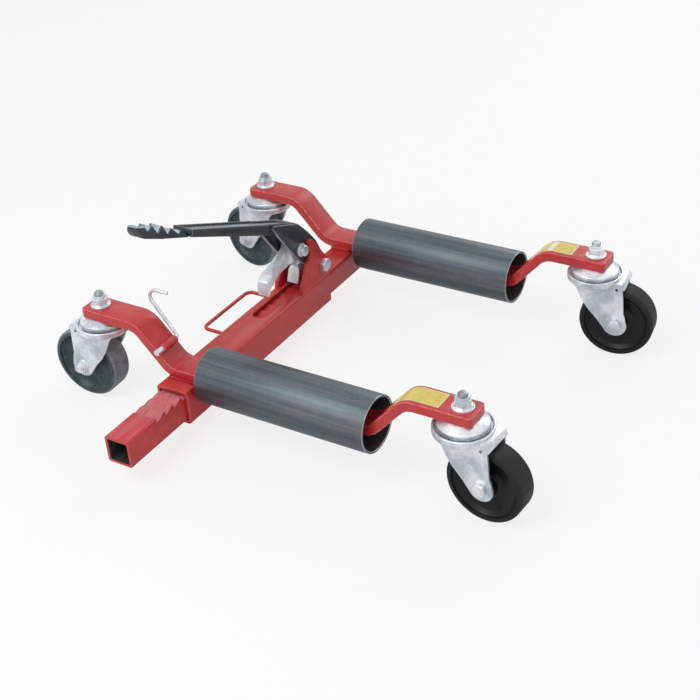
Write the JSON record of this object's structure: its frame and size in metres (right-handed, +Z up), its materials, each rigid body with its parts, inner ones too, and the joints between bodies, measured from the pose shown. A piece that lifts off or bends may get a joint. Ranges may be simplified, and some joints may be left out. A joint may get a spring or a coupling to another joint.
{
  "type": "vehicle positioning jack",
  "caption": "Foot-pumped roller cradle that closes round a vehicle's tyre, lifts it off the floor and carries it on swivel casters.",
  "frame": {"origin": "on the floor, midway between the two rollers and midway along them", "axes": "+X along the rollers towards the open side where the tyre comes in, +Y along the sliding beam from the front arm to the rear arm, +Z up"},
  "size_m": [0.6971, 0.5725, 0.3123],
  "materials": {
    "red_paint": "satin red paint",
    "black_paint": "satin black paint",
    "zinc_plate": "bright zinc plate",
    "bare_steel": "bare drawn steel tube",
    "spring_steel": "dark spring wire",
    "bearing_steel": "polished bearing balls",
    "bush_nylon": "dark nylon",
    "wheel_black": "near-black moulded wheel",
    "wheel_grey": "dark grey moulded wheel"
  },
  "bodies": {
    "frame": {"outer_tube": "red_paint", "front_arm_inner": "red_paint", "front_axle": "bare_steel", "front_arm_outer": "red_paint", "front_axle_collars": "bare_steel", "bracket_left": "red_paint", "bracket_right": "red_paint", "pedal_pivot_bolt": "zinc_plate", "pedal_pivot_nut": "zinc_plate", "pedal_spring": "spring_steel", "holding_pawl_spring": "spring_steel", "carry_handle": "red_paint", "hook_boss": "red_paint", "front_caster_caps": "zinc_plate", "front_caster_bolts": "zinc_plate", "front_caster_nuts": "zinc_plate"},
    "rear_frame": {"inner_tube": "red_paint", "rack_bar": "red_paint", "rear_arm_pad": "red_paint", "rear_arm_inner": "red_paint", "rear_axle": "bare_steel", "rear_arm_outer": "red_paint", "rear_axle_collars": "bare_steel", "rear_caster_caps": "zinc_plate", "rear_caster_bolts": "zinc_plate", "rear_caster_nuts": "zinc_plate"},
    "pedal": {"pedal_cheek_left": "black_paint", "pedal_cheek_right": "black_paint", "pedal_lever": "black_paint", "foot_pad": "black_paint", "pawl_pivot_bolt": "zinc_plate", "pawl_pivot_nut": "zinc_plate", "drive_pawl_spring": "spring_steel"},
    "drive_pawl": {"drive_pawl": "zinc_plate"},
    "holding_pawl": {"holding_pawl": "zinc_plate"},
    "hook": {"storage_hook": "zinc_plate"},
    "front_roller": {"front_roller": "bare_steel", "front_roller_bushes": "bush_nylon"},
    "rear_roller": {"rear_roller": "bare_steel", "rear_roller_bushes": "bush_nylon"},
    "caster_front_right": {"fork_front_right": "zinc_plate", "balls_front_right": "bearing_steel", "wheel_bolt_front_right": "zinc_plate"},
    "wheel_front_right": {"wheel_front_right": "wheel_black", "sleeve_front_right": "bare_steel"},
    "caster_rear_right": {"fork_rear_right": "zinc_plate", "balls_rear_right": "bearing_steel", "wheel_bolt_rear_right": "zinc_plate"},
    "wheel_rear_right": {"wheel_rear_right": "wheel_black", "sleeve_rear_right": "bare_steel"},
    "caster_front_left": {"fork_front_left": "zinc_plate", "balls_front_left": "bearing_steel", "wheel_bolt_front_left": "zinc_plate"},
    "wheel_front_left": {"wheel_front_left": "wheel_grey", "sleeve_front_left": "bare_steel"},
    "caster_rear_left": {"fork_rear_left": "zinc_plate", "balls_rear_left": "bearing_steel", "wheel_bolt_rear_left": "zinc_plate"},
    "wheel_rear_left": {"wheel_rear_left": "wheel_grey", "sleeve_rear_left": "bare_steel"}
  },
  "joints": [
    {"name": "beam_slide", "type": "slide", "parent": "frame", "child": "rear_frame", "axis": [0, 1, 0], "range_m": [-0.051, 0.187]},
    {"name": "pedal_swing", "type": "hinge", "parent": "frame", "child": "pedal", "pos_m": [-0.1557, 0.0932, 0.092], "axis": [1, 0, 0], "range_deg": [0, 28], "stiffness_Nm_per_rad": 3, "springref_deg": -68.75},
    {"name": "drive_pawl_swing", "type": "hinge", "parent": "pedal", "child": "drive_pawl", "pos_m": [-0.1557, 0.0502, 0.1355], "axis": [1, 0, 0], "range_deg": [-22, 0]},
    {"name": "holding_pawl_swing", "type": "hinge", "parent": "frame", "child": "holding_pawl", "pos_m": [-0.1557, 0.0932, 0.092], "axis": [1, 0, 0], "range_deg": [0, 21]},
    {"name": "front_roller_spin", "type": "hinge", "parent": "frame", "child": "front_roller", "pos_m": [0, -0.1915, 0.07955], "axis": [1, 0, 0], "continuous": true},
    {"name": "rear_roller_spin", "type": "hinge", "parent": "rear_frame", "child": "rear_roller", "pos_m": [0, 0.1915, 0.07955], "axis": [1, 0, 0], "continuous": true},
    {"name": "hook_swing", "type": "hinge", "parent": "frame", "child": "hook", "pos_m": [-0.18537, -0.1915, 0.10933], "axis": [0, 1, 0], "range_deg": [-6, 50]},
    {"name": "swivel_front_right", "type": "hinge", "parent": "frame", "child": "caster_front_right", "pos_m": [0.2373, -0.1915, 0.115], "axis": [0, 0, 1], "continuous": true},
    {"name": "wheel_spin_front_right", "type": "hinge", "parent": "caster_front_right", "child": "wheel_front_right", "pos_m": [0.27023, -0.19357, 0.05], "axis": [0.0628, 0.998, 0], "continuous": true},
    {"name": "swivel_rear_right", "type": "hinge", "parent": "rear_frame", "child": "caster_rear_right", "pos_m": [0.2373, 0.1915, 0.115], "axis": [0, 0, 1], "continuous": true},
    {"name": "wheel_spin_rear_right", "type": "hinge", "parent": "caster_rear_right", "child": "wheel_rear_right", "pos_m": [0.26997, 0.19615, 0.05], "axis": [-0.1409, 0.99, 0], "continuous": true},
    {"name": "swivel_front_left", "type": "hinge", "parent": "frame", "child": "caster_front_left", "pos_m": [-0.2922, -0.1915, 0.115], "axis": [0, 0, 1], "continuous": true},
    {"name": "wheel_spin_front_left", "type": "hinge", "parent": "caster_front_left", "child": "wheel_front_left", "pos_m": [-0.32517, -0.193, 0.05], "axis": [0.0454, -0.999, 0], "continuous": true},
    {"name": "swivel_rear_left", "type": "hinge", "parent": "rear_frame", "child": "caster_rear_left", "pos_m": [-0.2922, 0.1915, 0.115], "axis": [0, 0, 1], "continuous": true},
    {"name": "wheel_spin_rear_left", "type": "hinge", "parent": "caster_rear_left", "child": "wheel_rear_left", "pos_m": [-0.32479, 0.19666, 0.05], "axis": [-0.1564, -0.9877, 0], "continuous": true}
  ],
  "couplings": [
    {"joint": "drive_pawl_swing", "follows": "pedal_swing", "ratio": -0.78394},
    {"joint": "holding_pawl_swing", "follows": "pedal_swing", "ratio": 0.7471}
  ]
}
